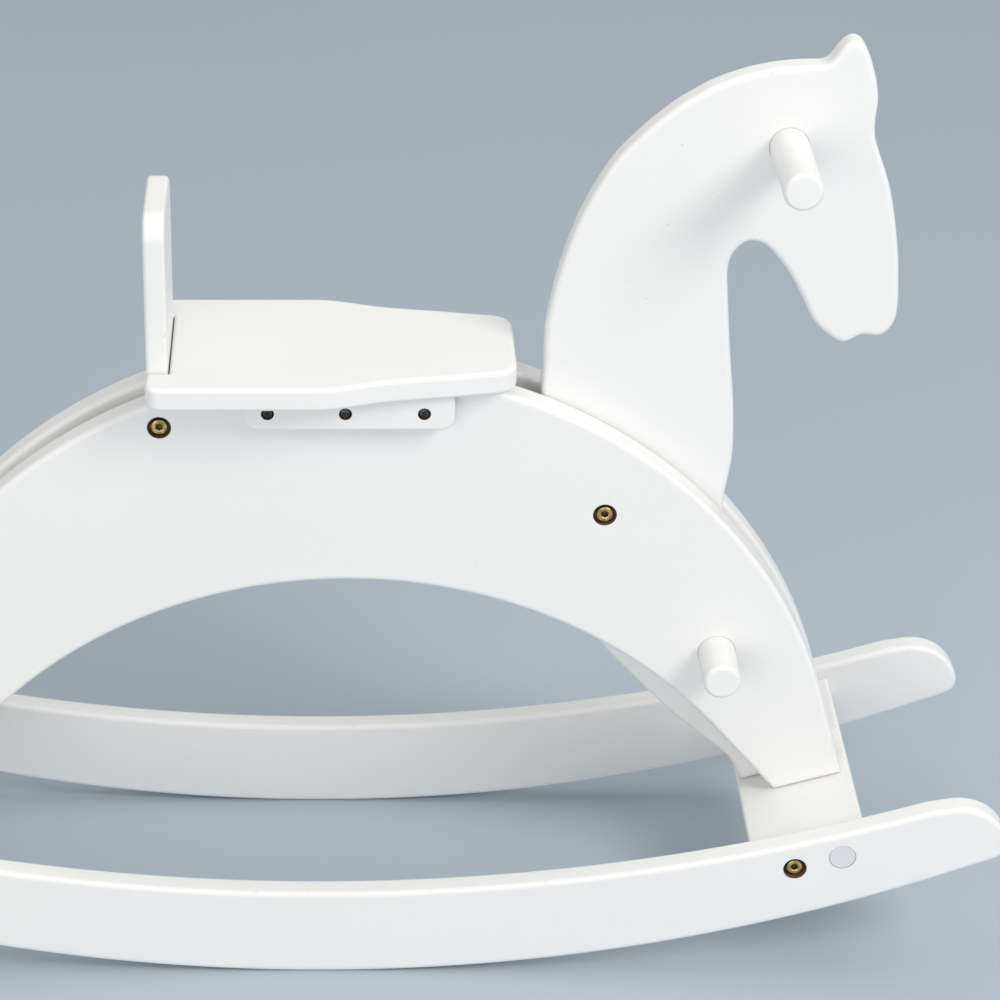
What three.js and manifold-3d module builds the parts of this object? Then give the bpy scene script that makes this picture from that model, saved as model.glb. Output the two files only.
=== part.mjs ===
// Wooden rocking horse for small children: two rockers, two arched body
// panels with the head board clamped between them, a seat with a low
// backrest, a round handle through the head and a round footrest through
// the body. Millimetres, Z up, +X towards the head, Y across.
// Origin: centre of the rockers, on the floor.
import * as THREE from 'three'
import { mergeVertices } from 'three/addons/utils/BufferGeometryUtils.js'
import Module from 'manifold-3d'

const wasm = await Module()
wasm.setup()

// ---------------------------------------------------------------- driving sizes
const T = 15            // thickness of the rockers, the cross boards and the head
const PANEL_T = 18      // thickness of a body panel
const SEAT_T = 14       // seat thickness
const BACK_T = 12.5     // backrest thickness
const GAP = 0.3         // assembly clearance between touching pieces
const EDGE = 1.8        // broken edge on every painted board

const HALF_W = 99.5     // outer face of a rocker, from the middle plane
const ROCK_R_LOW = 1013 // radius of the running edge
const ROCK_R_TOP = 1150 // radius of the upper edge
const ROCK_DEPTH = 57   // rocker depth at the middle

const ARCH_X = 14.6     // middle of the body arch
const ARCH_OUT_R = 298
const ARCH_OUT_Z = 67.7
const ARCH_OUT_LEG = 16     // the outline runs straight below this angle, degrees
const ARCH_IN_X = 16.5  // middle of the opening under the body
const ARCH_IN_R = 290
const ARCH_IN_Z = -61.3
const ARCH_IN_LEG = 219     // the opening runs straight beyond this distance from the middle
const PANEL_IN = T / 2 + GAP          // inner face of a body panel
const PANEL_OUT = PANEL_IN + PANEL_T  // outer face of a body panel

const SEAT_TOP = 371.2
const SEAT_LOW = SEAT_TOP - SEAT_T
const SEAT_REAR = -97.5
const SEAT_FRONT = 112.5
const SEAT_HALF = 60.5
const BACK_HALF = 38
const BACK_TOP = 464
const BACK_SLOT = 1.3   // play in front of the backrest

const PEG_D = 22        // handle and footrest
const HANDLE = { x: 261, z: 495.5, half: 73 }
const FOOTREST = { x: 236.4, z: 179.6, half: 61 }

const BOARD_W = 69      // cross board width along the slope
const BOARD_F = { x: 291.5, z: 78.0, a: 16.5 }
const BOARD_R = { x: -263.5, z: 71.4, a: -15 }
const BOLT_S = [-11, 17.7]  // bolt places along the board slope, + = towards the tip

const HEAD_D = 9.6      // bolt head
const HEAD_H = 4
const BOLT_D = 6
const CBORE_D = 13.6
const CBORE_H = 6
const CAP_D = 15.6
const CAP_H = 1.4

const BODY_BOLT = { x: 166.3, z: 272.6 }
const BACK_BOLT = { x: -91.5, z: 329.6 }

const CLEAT = { x0: -42.8, x1: 77.5, z0: 334.2, t: 12, r: 8 }
const CLEAT_SCREW_X = [-29, 15.3, 60.1]
const CLEAT_SCREW_Z = 344.6
const SEAT_SCREW_X = [-7, 38]

// ---------------------------------------------------------------- materials
const paint = () => new THREE.MeshStandardMaterial({ color: 0xf0f0ee, roughness: 0.5, metalness: 0 })
const brass = () => new THREE.MeshStandardMaterial({ color: 0xb89a4e, roughness: 0.35, metalness: 0.9 })
const zinc = () => new THREE.MeshStandardMaterial({ color: 0x9a9a96, roughness: 0.4, metalness: 0.9 })
const dark = () => new THREE.MeshStandardMaterial({ color: 0x3a3a3c, roughness: 0.45, metalness: 0.8 })
const plastic = () => new THREE.MeshStandardMaterial({ color: 0xd6d6da, roughness: 0.45, metalness: 0 })

const group = new THREE.Group()
group.name = 'rocking_horse'
function put(name, geometry, material) {
  const mesh = new THREE.Mesh(geometry, material)
  mesh.name = name
  group.add(mesh)
  return mesh
}

// ---------------------------------------------------------------- helpers
const rad = (d) => d * Math.PI / 180
const V2 = (x, y) => new THREE.Vector2(x, y)

function solid(geometry) {
  let g = geometry.clone()
  g.deleteAttribute('normal')
  if (g.attributes.uv) g.deleteAttribute('uv')
  g = mergeVertices(g, 1e-4)
  return new wasm.Manifold(new wasm.Mesh({
    numProp: 3,
    vertProperties: Float32Array.from(g.attributes.position.array),
    triVerts: Uint32Array.from(g.index.array),
  }))
}
function geometryOf(manifold) {
  const m = manifold.getMesh()
  const p = new Float32Array(m.numVert * 3)
  for (let i = 0; i < m.numVert; i++) {
    for (let k = 0; k < 3; k++) p[i * 3 + k] = m.vertProperties[i * m.numProp + k]
  }
  let g = new THREE.BufferGeometry()
  g.setAttribute('position', new THREE.BufferAttribute(p, 3))
  g.setIndex(new THREE.BufferAttribute(Uint32Array.from(m.triVerts), 1))
  g = g.toNonIndexed()
  g.computeVertexNormals()
  return g
}
function cut(geometry, ...tools) {
  let s = solid(geometry)
  for (const t of tools) s = s.subtract(solid(t))
  return geometryOf(s)
}

// A board drawn in the XZ plane and lying between y0 and y1, edges broken.
function boardXZ(points, y0, y1, edge = EDGE) {
  const shape = new THREE.Shape(points)
  const g = new THREE.ExtrudeGeometry(shape, {
    depth: y1 - y0 - 2 * edge,
    bevelEnabled: true, bevelThickness: edge, bevelSize: edge, bevelOffset: -edge, bevelSegments: 1,
    curveSegments: 12,
  })
  g.translate(0, 0, edge)
  g.rotateX(Math.PI / 2)          // z of the extrusion now runs along -Y
  g.translate(0, y1, 0)
  return g
}
// A board drawn in the XY plane, standing from z0 up to z1.
function boardXY(points, z0, z1, edge = EDGE) {
  const shape = new THREE.Shape(points)
  const g = new THREE.ExtrudeGeometry(shape, {
    depth: z1 - z0 - 2 * edge,
    bevelEnabled: true, bevelThickness: edge, bevelSize: edge, bevelOffset: -edge, bevelSegments: 1,
    curveSegments: 12,
  })
  g.translate(0, 0, z0 + edge)
  return g
}
// Cylinder along Y between y0 and y1.
function rodY(x, z, d, y0, y1, seg = 24) {
  const g = new THREE.CylinderGeometry(d / 2, d / 2, y1 - y0, seg)
  g.translate(x, (y0 + y1) / 2, z)
  return g
}
// Closed profile turned about the Y axis of the lathe.
function turned(profile, seg = 24) {
  let area = 0
  for (let i = 0; i < profile.length; i++) {
    const [r0, z0] = profile[i], [r1, z1] = profile[(i + 1) % profile.length]
    area += r0 * z1 - r1 * z0
  }
  if (area < 0) profile = profile.slice().reverse()
  return new THREE.LatheGeometry(profile.map(([r, y]) => V2(r, y)), seg)
}
// Corner rounding of a polygon: list of [x, y, radius].
function rounded(list, step = 6) {
  const out = []
  const n = list.length
  for (let i = 0; i < n; i++) {
    const [x, y, r] = list[i]
    if (!r) { out.push(V2(x, y)); continue }
    const p = V2(x, y)
    const a = V2(list[(i + n - 1) % n][0], list[(i + n - 1) % n][1]).sub(p).normalize()
    const b = V2(list[(i + 1) % n][0], list[(i + 1) % n][1]).sub(p).normalize()
    const half = Math.acos(Math.max(-1, Math.min(1, a.dot(b)))) / 2
    const d = r / Math.tan(half)
    const c = p.clone().add(a.clone().add(b).normalize().multiplyScalar(r / Math.sin(half)))
    const s = p.clone().add(a.multiplyScalar(d)), e = p.clone().add(b.multiplyScalar(d))
    let a0 = Math.atan2(s.y - c.y, s.x - c.x), a1 = Math.atan2(e.y - c.y, e.x - c.x)
    while (a1 - a0 > Math.PI) a1 -= 2 * Math.PI
    while (a1 - a0 < -Math.PI) a1 += 2 * Math.PI
    for (let k = 0; k <= step; k++) {
      const t = a0 + (a1 - a0) * k / step
      out.push(V2(c.x + r * Math.cos(t), c.y + r * Math.sin(t)))
    }
  }
  return out
}
function arc(cx, cz, r, x0, x1, n, sign) {
  const out = []
  for (let i = 0; i <= n; i++) {
    const x = x0 + (x1 - x0) * i / n
    out.push(V2(x, cz + sign * Math.sqrt(r * r - (x - cx) * (x - cx))))
  }
  return out
}
// Smooth open curve through points, returned as a dense list.
function through(points, n) {
  const c = new THREE.CatmullRomCurve3(points.map(([x, y]) => new THREE.Vector3(x, y, 0)), false, 'centripetal')
  return c.getSpacedPoints(n).map((p) => V2(p.x, p.y))
}

// ---------------------------------------------------------------- rockers
const TIP = [[366, 115.5], [374, 116.7], [382, 116.1], [390, 113.4], [397, 108.1], [402.4, 100.8], [405.4, 92.2], [404.2, 85.6], [399.6, 82], [392, 78.6]]
function rockerOutline() {
  const low = arc(0, ROCK_R_LOW, ROCK_R_LOW, -384, 384, 32, -1)
  const tipF = through(TIP.slice().reverse(), 11)
  const top = arc(0, ROCK_DEPTH + ROCK_R_TOP, ROCK_R_TOP, 358, -358, 24, -1)
  const tipR = tipF.slice().reverse().map((p) => V2(-p.x, p.y))
  return [...low, ...tipF, ...top, ...tipR]
}
// Place on the cross board: s along the slope towards the tip, h above its middle plane.
function onBoard(b, s, h = 0) {
  const dir = Math.sign(b.x), a = rad(b.a)
  return { x: b.x + dir * s * Math.cos(a) - h * Math.sin(a), z: b.z + dir * s * Math.sin(a) + h * Math.cos(a) }
}
const boards = [['front', BOARD_F], ['rear', BOARD_R]]
for (const [side, sgn] of [['right', -1], ['left', 1]]) {
  const y0 = sgn < 0 ? -HALF_W : HALF_W - T
  const body = boardXZ(rockerOutline(), y0, y0 + T)
  const tools = []
  for (const [, b] of boards) {
    for (const [i, s] of BOLT_S.entries()) {
      const p = onBoard(b, s)
      const out = sgn * (HALF_W + 1)
      const seatY = sgn * (HALF_W - CBORE_H)
      tools.push(rodY(p.x, p.z, BOLT_D + 0.6, Math.min(sgn * (HALF_W - T - 1), out), Math.max(sgn * (HALF_W - T - 1), out), 12))
      tools.push(rodY(p.x, p.z, CBORE_D, Math.min(seatY, out), Math.max(seatY, out), 16))
      if (i === 1) {
        const capY = sgn * (HALF_W - CAP_H - 0.4)
        tools.push(rodY(p.x, p.z, CAP_D + 0.6, Math.min(capY, out), Math.max(capY, out), 16))
      }
    }
  }
  put(`rocker_${side}`, cut(body, ...tools), paint())
}

// ---------------------------------------------------------------- cross boards
// Each lies between the rockers, tilted with them, and carries the arch feet.
const SCREW_FOOT_S = { front: [-6, 12], rear: [-9, 9] }
const NUT_Y = 55
for (const [place, b] of boards) {
  const half = BOARD_W / 2
  const len = 2 * (HALF_W - T - GAP)
  const shape = new THREE.Shape([V2(-half, -len / 2), V2(half, -len / 2), V2(half, len / 2), V2(-half, len / 2)])
  const g = new THREE.ExtrudeGeometry(shape, { depth: T - 2 * EDGE, bevelEnabled: true, bevelThickness: EDGE, bevelSize: EDGE, bevelOffset: -EDGE, bevelSegments: 1 })
  g.translate(0, 0, -T / 2 + EDGE)
  const tools = []
  const dir = Math.sign(b.x)
  for (const sgn of [-1, 1]) {
    for (const s of BOLT_S) {
      const bore = rodY(dir * s, 0, BOLT_D + 0.6, Math.min(sgn * 44, sgn * (len / 2 + 1)), Math.max(sgn * 44, sgn * (len / 2 + 1)), 12)
      tools.push(bore)
      const pocket = new THREE.CylinderGeometry(5.4, 5.4, 15, 14)
      pocket.rotateX(Math.PI / 2)
      pocket.translate(dir * s, sgn * NUT_Y, 5.8 - 7.5)
      tools.push(pocket)
    }
    for (const s of SCREW_FOOT_S[place]) {
      const hole = new THREE.CylinderGeometry(2.4, 2.4, T + 4, 10)
      hole.rotateX(Math.PI / 2)
      hole.translate(dir * s, sgn * (PANEL_IN + PANEL_T / 2), 0)
      tools.push(hole)
      const sink = new THREE.CylinderGeometry(5.6, 2.5, 3.6, 12)   // wide end down after the turn
      sink.rotateX(-Math.PI / 2)
      sink.translate(dir * s, sgn * (PANEL_IN + PANEL_T / 2), -T / 2 + 1.2)
      tools.push(sink)
    }
  }
  const done = cut(g, ...tools)
  done.rotateY(-rad(b.a))
  done.translate(b.x, 0, b.z)
  put(`crossboard_${place}`, done, paint())
}

// ---------------------------------------------------------------- rocker bolts, barrel nuts, caps
// Hex-socket bolt, head at the top of the lathe axis, shank downwards.
function boltGeometry(len, hex = 4) {
  const g = turned([[0, -len], [BOLT_D / 2 - 0.8, -len], [BOLT_D / 2, -len + 0.8], [BOLT_D / 2, 0], [HEAD_D / 2, 0], [HEAD_D / 2, HEAD_H - 0.6], [HEAD_D / 2 - 0.6, HEAD_H], [0, HEAD_H]], 14)
  const key = new THREE.CylinderGeometry(hex / Math.sqrt(3), hex / Math.sqrt(3), 4.4, 6)
  key.translate(0, HEAD_H - 2.4 + 2.2, 0)
  return cut(g, key)
}
function alongY(g, sgn) {      // lathe axis (Y) kept for the left side, turned over for the right side
  if (sgn < 0) g.rotateX(Math.PI)
  return g
}
for (const [place, b] of boards) {
  for (const [side, sgn] of [['right', -1], ['left', 1]]) {
    for (const [i, s] of BOLT_S.entries()) {
      const p = onBoard(b, s)
      const which = i === 0 ? 'inner' : 'outer'
      const g = alongY(boltGeometry(45), sgn)
      g.translate(p.x, sgn * (HALF_W - CBORE_H + 0.3), p.z)
      put(`bolt_${place}_${side}_${which}`, g, brass())
      // barrel nut across the board, the bolt runs through it
      const nut = cut(
        new THREE.CylinderGeometry(5, 5, 11, 12).rotateX(Math.PI / 2),
        rodY(0, 0, BOLT_D + 0.6, -8, 8, 12),
      )
      nut.rotateY(-rad(b.a))
      nut.translate(p.x, sgn * NUT_Y, p.z)
      put(`nut_${place}_${side}_${which}`, nut, zinc())
      if (i === 1) {
        const cap = turned([[0, 0], [CAP_D / 2, 0], [CAP_D / 2, CAP_H - 0.5], [CAP_D / 2 - 0.5, CAP_H], [0, CAP_H]], 16)
        alongY(cap, sgn)
        cap.translate(p.x, sgn * (HALF_W - CAP_H - 0.1), p.z)
        put(`cover_cap_${place}_${side}`, cap, plastic())
      }
    }
  }
}

// ---------------------------------------------------------------- body panels
const FLAT_Z = SEAT_LOW - GAP          // the arch is cut flat where the seat lies on it
function boardTop(b, x) {              // height of the cross board's upper face at x
  const a = rad(b.a)
  return b.z + (T / 2) / Math.cos(a) + (x - b.x) * Math.tan(a) + GAP
}
function legEnd(p, d, b) {             // where a straight leg from p along d meets the board's upper face
  const m = Math.tan(rad(b.a)), c = boardTop(b, 0)
  const t = (m * p.x + c - p.y) / (d.y - m * d.x)
  return V2(p.x + t * d.x, p.y + t * d.y)
}
function archOutline() {
  const out = []
  const sweep = (cx, cz, r, p, q, n) => {     // points on a circle from p to q over the top
    let a0 = Math.atan2(p.y - cz, p.x - cx), a1 = Math.atan2(q.y - cz, q.x - cx)
    if (a0 < -Math.PI / 2) a0 += 2 * Math.PI
    if (a1 < -Math.PI / 2) a1 += 2 * Math.PI
    for (let i = 0; i <= n; i++) {
      const t = a0 + (a1 - a0) * i / n
      out.push(V2(cx + r * Math.cos(t), cz + r * Math.sin(t)))
    }
  }
  const th = rad(ARCH_OUT_LEG)
  const leg = (sx) => V2(ARCH_X + sx * ARCH_OUT_R * Math.cos(th), ARCH_OUT_Z + ARCH_OUT_R * Math.sin(th))
  const drop = Math.sqrt(ARCH_IN_R ** 2 - ARCH_IN_LEG ** 2)
  const knee = (sx) => V2(ARCH_IN_X + sx * ARCH_IN_LEG, ARCH_IN_Z + drop)
  const half = Math.sqrt(ARCH_OUT_R ** 2 - (FLAT_Z - ARCH_OUT_Z) ** 2)
  out.push(legEnd(leg(1), V2(Math.sin(th), -Math.cos(th)), BOARD_F))
  sweep(ARCH_X, ARCH_OUT_Z, ARCH_OUT_R, leg(1), V2(ARCH_X + half, FLAT_Z), 15)
  sweep(ARCH_X, ARCH_OUT_Z, ARCH_OUT_R, V2(ARCH_X - half, FLAT_Z), leg(-1), 15)
  out.push(legEnd(leg(-1), V2(-Math.sin(th), -Math.cos(th)), BOARD_R))
  out.push(legEnd(knee(-1), V2(-drop, -ARCH_IN_LEG), BOARD_R))
  sweep(ARCH_IN_X, ARCH_IN_Z, ARCH_IN_R, knee(-1), knee(1), 26)
  out.push(legEnd(knee(1), V2(drop, -ARCH_IN_LEG), BOARD_F))
  return out
}
const footScrews = []
for (const [place, b] of boards) {
  for (const s of SCREW_FOOT_S[place]) footScrews.push([place, b, s])
}
for (const [side, sgn] of [['right', -1], ['left', 1]]) {
  const y0 = sgn < 0 ? -PANEL_OUT : PANEL_IN
  const body = boardXZ(archOutline(), y0, y0 + PANEL_T, 1.8)
  const lo = Math.min(sgn * (PANEL_IN - 1), sgn * (PANEL_OUT + 1)), hi = Math.max(sgn * (PANEL_IN - 1), sgn * (PANEL_OUT + 1))
  const tools = []
  for (const p of [BODY_BOLT, BACK_BOLT]) {
    tools.push(rodY(p.x, p.z, 8.8, lo, hi, 16))
    const c = sgn * (PANEL_OUT - 5)
    tools.push(rodY(p.x, p.z, CBORE_D, Math.min(c, sgn * (PANEL_OUT + 1)), Math.max(c, sgn * (PANEL_OUT + 1)), 20))
  }
  tools.push(rodY(FOOTREST.x, FOOTREST.z, PEG_D + 0.6, lo, hi, 20))
  for (const x of CLEAT_SCREW_X) tools.push(rodY(x, CLEAT_SCREW_Z, 4.2, Math.min(sgn * (PANEL_OUT - 12.5), sgn * (PANEL_OUT + 1)), Math.max(sgn * (PANEL_OUT - 12.5), sgn * (PANEL_OUT + 1)), 10))
  for (const [, b, s] of footScrews) {
    const p = onBoard(b, s, T / 2)
    const bore = new THREE.CylinderGeometry(2.1, 2.1, 62, 10)
    bore.rotateX(Math.PI / 2)
    bore.rotateY(-rad(b.a))
    bore.translate(p.x, sgn * (PANEL_IN + PANEL_T / 2), p.z)
    tools.push(bore)
  }
  put(`body_panel_${side}`, cut(body, ...tools), paint())
}
// screws coming up through the cross boards into the feet
for (const [place, b] of boards) {
  for (const [side, sgn] of [['right', -1], ['left', 1]]) {
    for (const [i, s] of SCREW_FOOT_S[place].entries()) {
      const g = turned([[0, 42], [0.4, 42], [1.8, 37], [1.8, 2.6], [4.3, 0], [0, 0]], 10)
      g.rotateX(Math.PI / 2)              // axis along +Z, head at the bottom
      g.rotateY(-rad(b.a))
      const p = onBoard(b, s, -T / 2 + 0.3)
      g.translate(p.x, sgn * (PANEL_IN + PANEL_T / 2), p.z)
      put(`foot_screw_${place}_${side}_${i + 1}`, g, zinc())
    }
  }
}

// ---------------------------------------------------------------- connector bolts through the body
for (const [name, p] of [['neck', BODY_BOLT], ['backrest', BACK_BOLT]]) {
  const bolt = alongY(boltGeometry(33), -1)
  bolt.translate(p.x, -(PANEL_OUT - 5 + 0.3), p.z)
  put(`bolt_${name}`, bolt, brass())
  let sleeve = turned([[0, -30], [4.1, -30], [4.1, 0], [HEAD_D / 2, 0], [HEAD_D / 2, HEAD_H - 0.6], [HEAD_D / 2 - 0.6, HEAD_H], [0, HEAD_H]], 14)
  const key = new THREE.CylinderGeometry(4 / Math.sqrt(3), 4 / Math.sqrt(3), 4.4, 6).translate(0, HEAD_H - 2.4 + 2.2, 0)
  const bore = new THREE.CylinderGeometry(3.3, 3.3, 29, 14).translate(0, -30 - 1 + 14.5, 0)
  sleeve = cut(sleeve, key, bore)
  sleeve.translate(p.x, PANEL_OUT - 5 + 0.3, p.z)
  put(`sleeve_nut_${name}`, sleeve, brass())
}

// ---------------------------------------------------------------- head and neck board
// Outline of head and neck, which run on as the front leg between the body panels, down to the cross board.
const HEAD = [
  [128.1, 341], [129.2, 363.2], [129.4, 374.7], [130.1, 386.1], [132.1, 397.1], [134, 408.2], [136.5, 418.8], [139.3, 429.2], [142.5, 439.4],
  [146, 449.4], [150.2, 459], [154.6, 468.3], [159.6, 477.3], [165, 485.8], [171.2, 493.5], [178, 500.6], [185, 507.4], [192.3, 513.7],
  [199.6, 519.6], [207.6, 524.7], [215.7, 529.6], [224.5, 533.5], [233.6, 536.8], [242.8, 539.3], [252.2, 541.1], [262, 542.2], [271.8, 542.6],
  [276.6, 542.7], [280.6, 544.4], [283.5, 548.5], [286.3, 552.5], [289.6, 555.8], [293.8, 557.2], [297.9, 555], [301.4, 549.4], [304.2, 541.9], [307, 532.2],
  [308.5, 521.7], [307.9, 510.8], [308.6, 500.3], [312, 489.9], [315.9, 479.7], [319.3, 469.3], [321.9, 458.6], [324.1, 447.7], [326, 436.7],
  [327.5, 425.7], [328.5, 414.5], [329.3, 403.2], [329.3, 395.5], [328.2, 387.6], [324.8, 381.6], [320.6, 378.6], [315.8, 378.7], [310.8, 379.3], [306.4, 377.4], [302, 374.6],
  [297.6, 375], [293.3, 377.6], [289, 381.1], [284.9, 384.9], [281.4, 389.3], [276.2, 399.4], [271.2, 409.3], [265.7, 418.8], [259.2, 427.4],
  [252.5, 434.6], [248.2, 436.9], [243.5, 437.6], [239.2, 436.1], [235.8, 432.6], [233.3, 428.9], [231.8, 423.3], [231.5, 416], [232.2, 407.5], [233.7, 390.5], [235.3, 373.5], [237.2, 356.3],
  [239.2, 338.9], [240.5, 321.4], [241, 306], [240.6, 297.8], [239.2, 286.3], [237.7, 276.1], [237.2, 266], [238.6, 257], [241.5, 248], [246, 239.2],
  [255, 226.3], [265, 210], [275, 190.7], [283, 172.1], [288, 158.2], [291.4, 147.1], [299.5, 118.9], [307.4, 91.1],
  [259.6, 76.9], [252.6, 89.6], [248.2, 95.2], [230.2, 110.8], [214, 125.2], [199.4, 140.3], [187.8, 152.9], [176.6, 165.2], [168.4, 175.6], [159.4, 189.6],
  [151, 205.5], [143, 225], [137, 248], [133, 272], [130.2, 296], [128.6, 320],
]
{
  const body = boardXZ(HEAD.map(([x, z]) => V2(x, z)), -T / 2, T / 2, EDGE)
  put('head_board', cut(
    body,
    rodY(HANDLE.x, HANDLE.z, PEG_D + 0.6, -20, 20, 20),
    rodY(FOOTREST.x, FOOTREST.z, PEG_D + 0.6, -20, 20, 20),
    rodY(BODY_BOLT.x, BODY_BOLT.z, 8.8, -20, 20, 16),
  ), paint())
}

// ---------------------------------------------------------------- handle and footrest dowels
function dowel(len) {
  const r = PEG_D / 2, e = 2.2, h = len / 2
  const pts = [[0, -h]]
  for (let i = 0; i <= 2; i++) { const t = i / 2 * Math.PI / 2; pts.push([r - e + e * Math.sin(t), -h + e - e * Math.cos(t)]) }
  for (let i = 0; i <= 2; i++) { const t = i / 2 * Math.PI / 2; pts.push([r - e + e * Math.cos(t), h - e + e * Math.sin(t)]) }
  pts.push([0, h])
  return turned(pts, 20)
}
put('handle_dowel', dowel(2 * HANDLE.half).translate(HANDLE.x, 0, HANDLE.z), paint())
put('footrest_dowel', dowel(2 * FOOTREST.half).translate(FOOTREST.x, 0, FOOTREST.z), paint())

// ---------------------------------------------------------------- seat
const SEAT_SIDE = [[-2, 60.5], [4, 60], [14.5, 57.7], [22.5, 55], [30.5, 52.4], [38.5, 50.2], [55.5, 47], [71.5, 44.6], [88.5, 41.4]]
const NOTCH = BACK_T + BACK_SLOT
{
  const side = through(SEAT_SIDE, 10)
  const right = side.map((p) => V2(p.x, -p.y))
  const left = side.slice().reverse()
  const rearRight = rounded([[SEAT_REAR + NOTCH, -(BACK_HALF + 0.5), 0], [SEAT_REAR, -(BACK_HALF + 0.5), 3.5], [SEAT_REAR, -SEAT_HALF, 8], [-10, -SEAT_HALF, 0]], 4)
  const frontCorners = rounded([[90, -41.1, 0], [SEAT_FRONT, -37.2, 14], [SEAT_FRONT, 37.2, 14], [90, 41.1, 0]], 5)
  const rearLeft = rearRight.slice().reverse().map((p) => V2(p.x, -p.y))
  const pts = [...rearRight, ...right, ...frontCorners.slice(1, -1), ...left, ...rearLeft]
  const body = boardXY(pts, SEAT_LOW, SEAT_TOP, 2)
  const tools = []
  for (const sgn of [-1, 1]) {
    for (const x of SEAT_SCREW_X) {
      const hole = new THREE.CylinderGeometry(2.1, 2.1, 12, 10).rotateX(Math.PI / 2)
      hole.translate(x, sgn * (PANEL_OUT + GAP + CLEAT.t / 2), SEAT_LOW - 2 + 6)
      tools.push(hole)
    }
  }
  put('seat_board', cut(body, ...tools), paint())
}

// ---------------------------------------------------------------- backrest
// Board across the horse, shoulders in the seat notch, tongue between the panels.
{
  const pts = rounded([
    [-BACK_HALF, SEAT_LOW, 3], [-T / 2, SEAT_LOW, 0], [-T / 2, 315, 3], [T / 2, 315, 3], [T / 2, SEAT_LOW, 0], [BACK_HALF, SEAT_LOW, 3],
    [BACK_HALF, BACK_TOP, 15], [-BACK_HALF, BACK_TOP, 15],
  ], 5)
  const shape = new THREE.Shape(pts)
  const g = new THREE.ExtrudeGeometry(shape, { depth: BACK_T - 3, bevelEnabled: true, bevelThickness: 1.5, bevelSize: 1.5, bevelOffset: -1.5, bevelSegments: 1 })
  g.translate(0, 0, 1.5)
  g.rotateX(Math.PI / 2)      // shape y -> Z, extrusion -> -Y
  g.rotateZ(Math.PI / 2)      // shape x -> Y, extrusion -> +X
  g.translate(SEAT_REAR, 0, 0)
  put('backrest_board', cut(g, rodY(BACK_BOLT.x, BACK_BOLT.z, 8.8, -20, 20, 16)), paint())
}

// ---------------------------------------------------------------- seat cleats
for (const [side, sgn] of [['right', -1], ['left', 1]]) {
  const a = sgn * (PANEL_OUT + GAP), c = sgn * (PANEL_OUT + GAP + CLEAT.t)
  const y0 = Math.min(a, c), y1 = Math.max(a, c)
  const pts = rounded([[CLEAT.x0, CLEAT.z0, CLEAT.r], [CLEAT.x1, CLEAT.z0, CLEAT.r], [CLEAT.x1, FLAT_Z, 2], [CLEAT.x0, FLAT_Z, 2]], 4)
  const body = boardXZ(pts, y0, y1, 1)
  const tools = []
  for (const x of CLEAT_SCREW_X) {
    tools.push(rodY(x, CLEAT_SCREW_Z, 4.6, y0 - 1, y1 + 1, 10))
    tools.push(rodY(x, CLEAT_SCREW_Z, 7.4, Math.min(c - sgn * 3.4, c + sgn), Math.max(c - sgn * 3.4, c + sgn), 14))
  }
  for (const x of SEAT_SCREW_X) {
    const hole = new THREE.CylinderGeometry(2.3, 2.3, 40, 10).rotateX(Math.PI / 2)
    hole.translate(x, (y0 + y1) / 2, 345)
    tools.push(hole)
    const sink = new THREE.CylinderGeometry(3.9, 3.9, 8, 12).rotateX(Math.PI / 2)
    sink.translate(x, (y0 + y1) / 2, CLEAT.z0 - 1)
    tools.push(sink)
  }
  put(`seat_cleat_${side}`, cut(body, ...tools), paint())
  for (const [i, x] of CLEAT_SCREW_X.entries()) {
    let g = turned([[0, -21], [0.4, -21], [1.7, -17.5], [1.7, 0], [3.3, 0], [3.3, 1], [2.7, 2.2], [0, 2.2]], 12)
    const slotA = new THREE.BoxGeometry(3.6, 2.4, 0.9).translate(0, 2.3, 0)
    const slotB = new THREE.BoxGeometry(0.9, 2.4, 3.6).translate(0, 2.3, 0)
    g = cut(g, slotA, slotB)
    alongY(g, sgn)
    g.translate(x, c - sgn * 3.1, CLEAT_SCREW_Z)
    put(`cleat_screw_${side}_${i + 1}`, g, dark())
  }
  for (const [i, x] of SEAT_SCREW_X.entries()) {
    const g = turned([[0, 29.4], [0.4, 29.4], [1.8, 26], [1.8, 2.2], [3.5, 2.2], [3.5, 1], [2.8, 0], [0, 0]], 10)
    g.rotateX(Math.PI / 2)
    g.translate(x, (y0 + y1) / 2, CLEAT.z0 + 0.5)
    put(`seat_screw_${side}_${i + 1}`, g, zinc())
  }
}

export default group
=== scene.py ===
import math

import bmesh
import bpy
import numpy as np
from mathutils import Matrix, Vector
from mathutils.geometry import delaunay_2d_cdt


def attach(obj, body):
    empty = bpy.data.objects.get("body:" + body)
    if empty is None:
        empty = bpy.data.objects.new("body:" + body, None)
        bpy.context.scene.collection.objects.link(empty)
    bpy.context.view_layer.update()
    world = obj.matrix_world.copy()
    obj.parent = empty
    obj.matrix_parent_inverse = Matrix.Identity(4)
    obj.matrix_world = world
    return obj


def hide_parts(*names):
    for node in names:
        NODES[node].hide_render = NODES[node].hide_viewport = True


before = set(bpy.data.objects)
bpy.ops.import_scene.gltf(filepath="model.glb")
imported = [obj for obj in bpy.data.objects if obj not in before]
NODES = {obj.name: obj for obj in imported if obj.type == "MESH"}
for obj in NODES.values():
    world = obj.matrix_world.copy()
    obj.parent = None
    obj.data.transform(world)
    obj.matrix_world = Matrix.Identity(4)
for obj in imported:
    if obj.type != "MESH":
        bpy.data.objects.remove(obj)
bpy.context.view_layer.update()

# ------------------------------------------------------------------ sizes of the design, millimetres
T = 15.0
SEAT_T = 14.0
BACK_T = 12.5
GAP = 0.3
HALF_W = 99.5
ROCK_R_LOW = 1013.0
ROCK_R_TOP = 1150.0
ROCK_DEPTH = 57.0
LOW_X, TOP_X = 384.0, 358.0
ARCH_X = 14.6
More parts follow.
